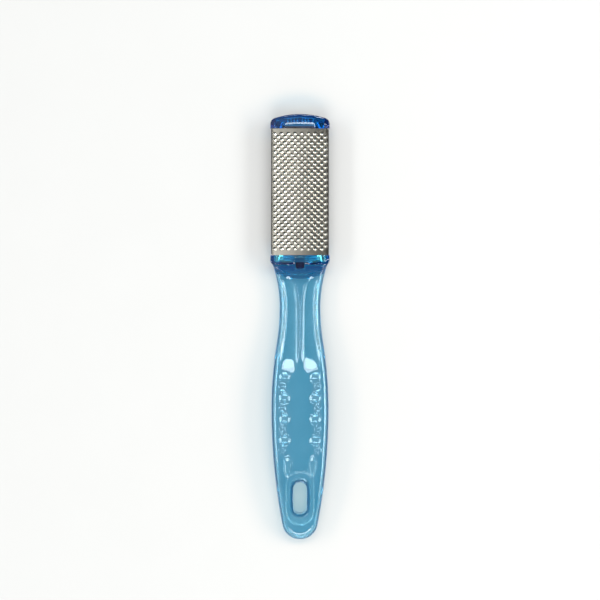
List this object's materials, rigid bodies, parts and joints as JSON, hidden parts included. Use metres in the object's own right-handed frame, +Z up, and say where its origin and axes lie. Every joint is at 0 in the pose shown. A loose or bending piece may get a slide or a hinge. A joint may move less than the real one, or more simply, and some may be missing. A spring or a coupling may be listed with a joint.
{
  "type": "foot file",
  "caption": "Foot file with a hollow see-through handle and a hinged, latched steel rasp over a tray that catches the shavings.",
  "frame": {"origin": "centre of the tool's box on the plane that its back rests on", "axes": "+X across the tool, +Y along it from the tail to the tip, +Z up from the back to the rasp"},
  "size_m": [0.0296, 0.2126, 0.0141],
  "materials": {
    "clear_blue_plastic": "polished see-through blue plastic",
    "rasp_steel": "bright pressed sheet steel with punched teeth",
    "pin_steel": "plain drawn steel wire"
  },
  "bodies": {
    "handle": {"back_shell": "clear_blue_plastic", "front_shell": "clear_blue_plastic"},
    "rasp_lid": {"rasp_frame": "clear_blue_plastic", "rasp_plate": "rasp_steel", "hinge_pins": "pin_steel"},
    "latch": {"release_latch": "clear_blue_plastic"}
  },
  "joints": [
    {"name": "lid_hinge", "type": "hinge", "parent": "handle", "child": "rasp_lid", "pos_m": [0, 0.1013, 0.0053], "axis": [-1, 0, 0], "range_deg": [0, 95]},
    {"name": "latch_press", "type": "hinge", "parent": "rasp_lid", "child": "latch", "pos_m": [0, 0.0347, 0.0116], "axis": [1, 0, 0], "range_deg": [0, 8], "stiffness_Nm_per_rad": 0.06}
  ]
}
